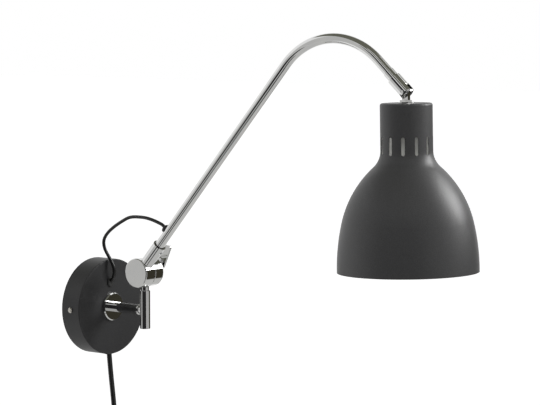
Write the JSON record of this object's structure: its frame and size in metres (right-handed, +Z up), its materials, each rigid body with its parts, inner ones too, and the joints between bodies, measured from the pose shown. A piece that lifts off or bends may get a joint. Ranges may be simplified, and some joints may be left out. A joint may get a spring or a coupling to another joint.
{
  "type": "wall lamp",
  "caption": "Plug-in wall lamp: round cover, upright swivel, clamping knuckle, swan-neck tube arm and a vented bell shade that tilts.",
  "frame": {"origin": "centre of the wall cover's back, on the wall", "axes": "+Z up, -Y away from the wall, +X to the right of someone who faces the wall"},
  "size_m": [0.1612, 0.5746, 0.6362],
  "materials": {
    "cover_paint": "fine matt charcoal powder coat",
    "shade_paint": "satin charcoal paint, pale inside",
    "chrome": "polished chrome plate",
    "zinc": "bright zinc-plated steel",
    "nickel_screw": "nickel-plated steel",
    "holder_plastic": "moulded white lamp-holder plastic",
    "brass_nickel": "nickel-plated brass",
    "brass": "bare brass",
    "white_plastic": "moulded connector plastic",
    "black_plastic": "moulded black plastic",
    "black_plug": "soft moulded black plastic",
    "black_rubber": "black rubber",
    "black_cable": "smooth black cable sheath",
    "friction": "plain friction washer"
  },
  "bodies": {
    "wall_mount": {"wall_bracket": "zinc", "wall_cover": "cover_paint", "cover_screws": "nickel_screw", "terminal_block": "white_plastic", "cord_anchor": "black_plastic", "rosette": "chrome", "stub_arm": "chrome", "stub_washer": "zinc", "stub_nut": "zinc", "swivel_sleeve": "chrome", "cover_grommet": "black_rubber", "mains_bush": "black_rubber", "mains_cord": "black_cable", "mains_coil": "black_cable", "cord_tie": "black_plastic", "mains_plug": "black_plug", "plug_pins": "brass_nickel", "loop_cable_lower": "black_cable"},
    "swivel": {"swivel_knuckle": "chrome", "retainer_washer": "zinc", "retainer_screw": "zinc", "friction_disc": "friction"},
    "arm": {"arm_knuckle": "chrome", "knuckle_stud": "zinc", "grub_screw": "zinc", "arm_tube": "chrome", "arm_grommet": "black_rubber", "inner_lead": "black_cable", "loop_cable_upper": "black_cable", "ferrule": "chrome", "head_fork": "chrome", "hinge_pin": "chrome"},
    "lever": {"clamp_lever": "chrome"},
    "shade": {"shade_shell": "shade_paint", "shade_stem": "chrome", "stem_washer": "chrome", "stem_nut": "chrome", "holder_cap": "holder_plastic", "holder_body": "holder_plastic", "screw_shell": "brass_nickel", "centre_contact": "brass"}
  },
  "joints": [
    {"name": "swivel_turn", "type": "hinge", "parent": "wall_mount", "child": "swivel", "pos_m": [0, -0.085, 0], "axis": [0, 0, 1], "range_deg": [-80, 80], "deforming": ["loop_cable_lower"]},
    {"name": "arm_tilt", "type": "hinge", "parent": "swivel", "child": "arm", "pos_m": [0, -0.085, 0.0476], "axis": [1, 0, 0], "range_deg": [-35, 60], "deforming": ["loop_cable_upper"]},
    {"name": "lever_turn", "type": "hinge", "parent": "swivel", "child": "lever", "pos_m": [0, -0.085, 0.0476], "axis": [1, 0, 0], "range_deg": [0, 150]},
    {"name": "shade_tilt", "type": "hinge", "parent": "arm", "child": "shade", "pos_m": [-0.0081, -0.48973, 0.28296], "axis": [1, 0, 0], "range_deg": [-80, 40]}
  ]
}
